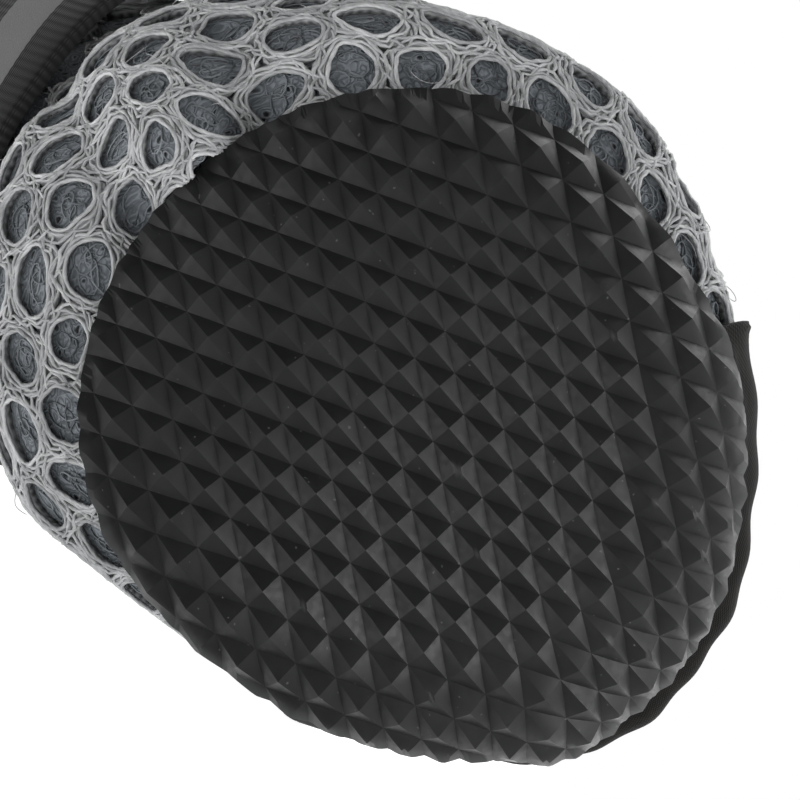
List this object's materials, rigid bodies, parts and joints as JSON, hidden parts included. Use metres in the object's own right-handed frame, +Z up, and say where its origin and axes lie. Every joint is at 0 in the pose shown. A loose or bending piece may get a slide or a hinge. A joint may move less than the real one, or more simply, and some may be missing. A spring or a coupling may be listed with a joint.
{
  "type": "dog boot",
  "caption": "Soft dog boot lying on its side: studded rubber sole, grey spacer-mesh upper, black toe cap, ankle strap with a reflective band, and a bound collar",
  "frame": {"origin": "On the floor, below the middle of the boot's bounding box, with the boot lying on its left side", "axes": "+X towards the toe, +Y from the sole towards the collar, +Z up from the floor"},
  "size_m": [0.087, 0.071, 0.052],
  "materials": {
    "sole_rubber": "satin black",
    "insole_foam": "matte dark grey",
    "upper_mesh": "knitted light grey",
    "cap_cloth": "fine-grained brownish black",
    "strap_webbing": "ribbed black with a grey band",
    "binding_ribbon": "ribbed black"
  },
  "bodies": {
    "root": {"outsole": "sole_rubber", "insole": "insole_foam", "upper": "upper_mesh", "toe_cap": "cap_cloth", "ankle_strap": "strap_webbing", "collar_binding": "binding_ribbon"}
  },
  "joints": []
}
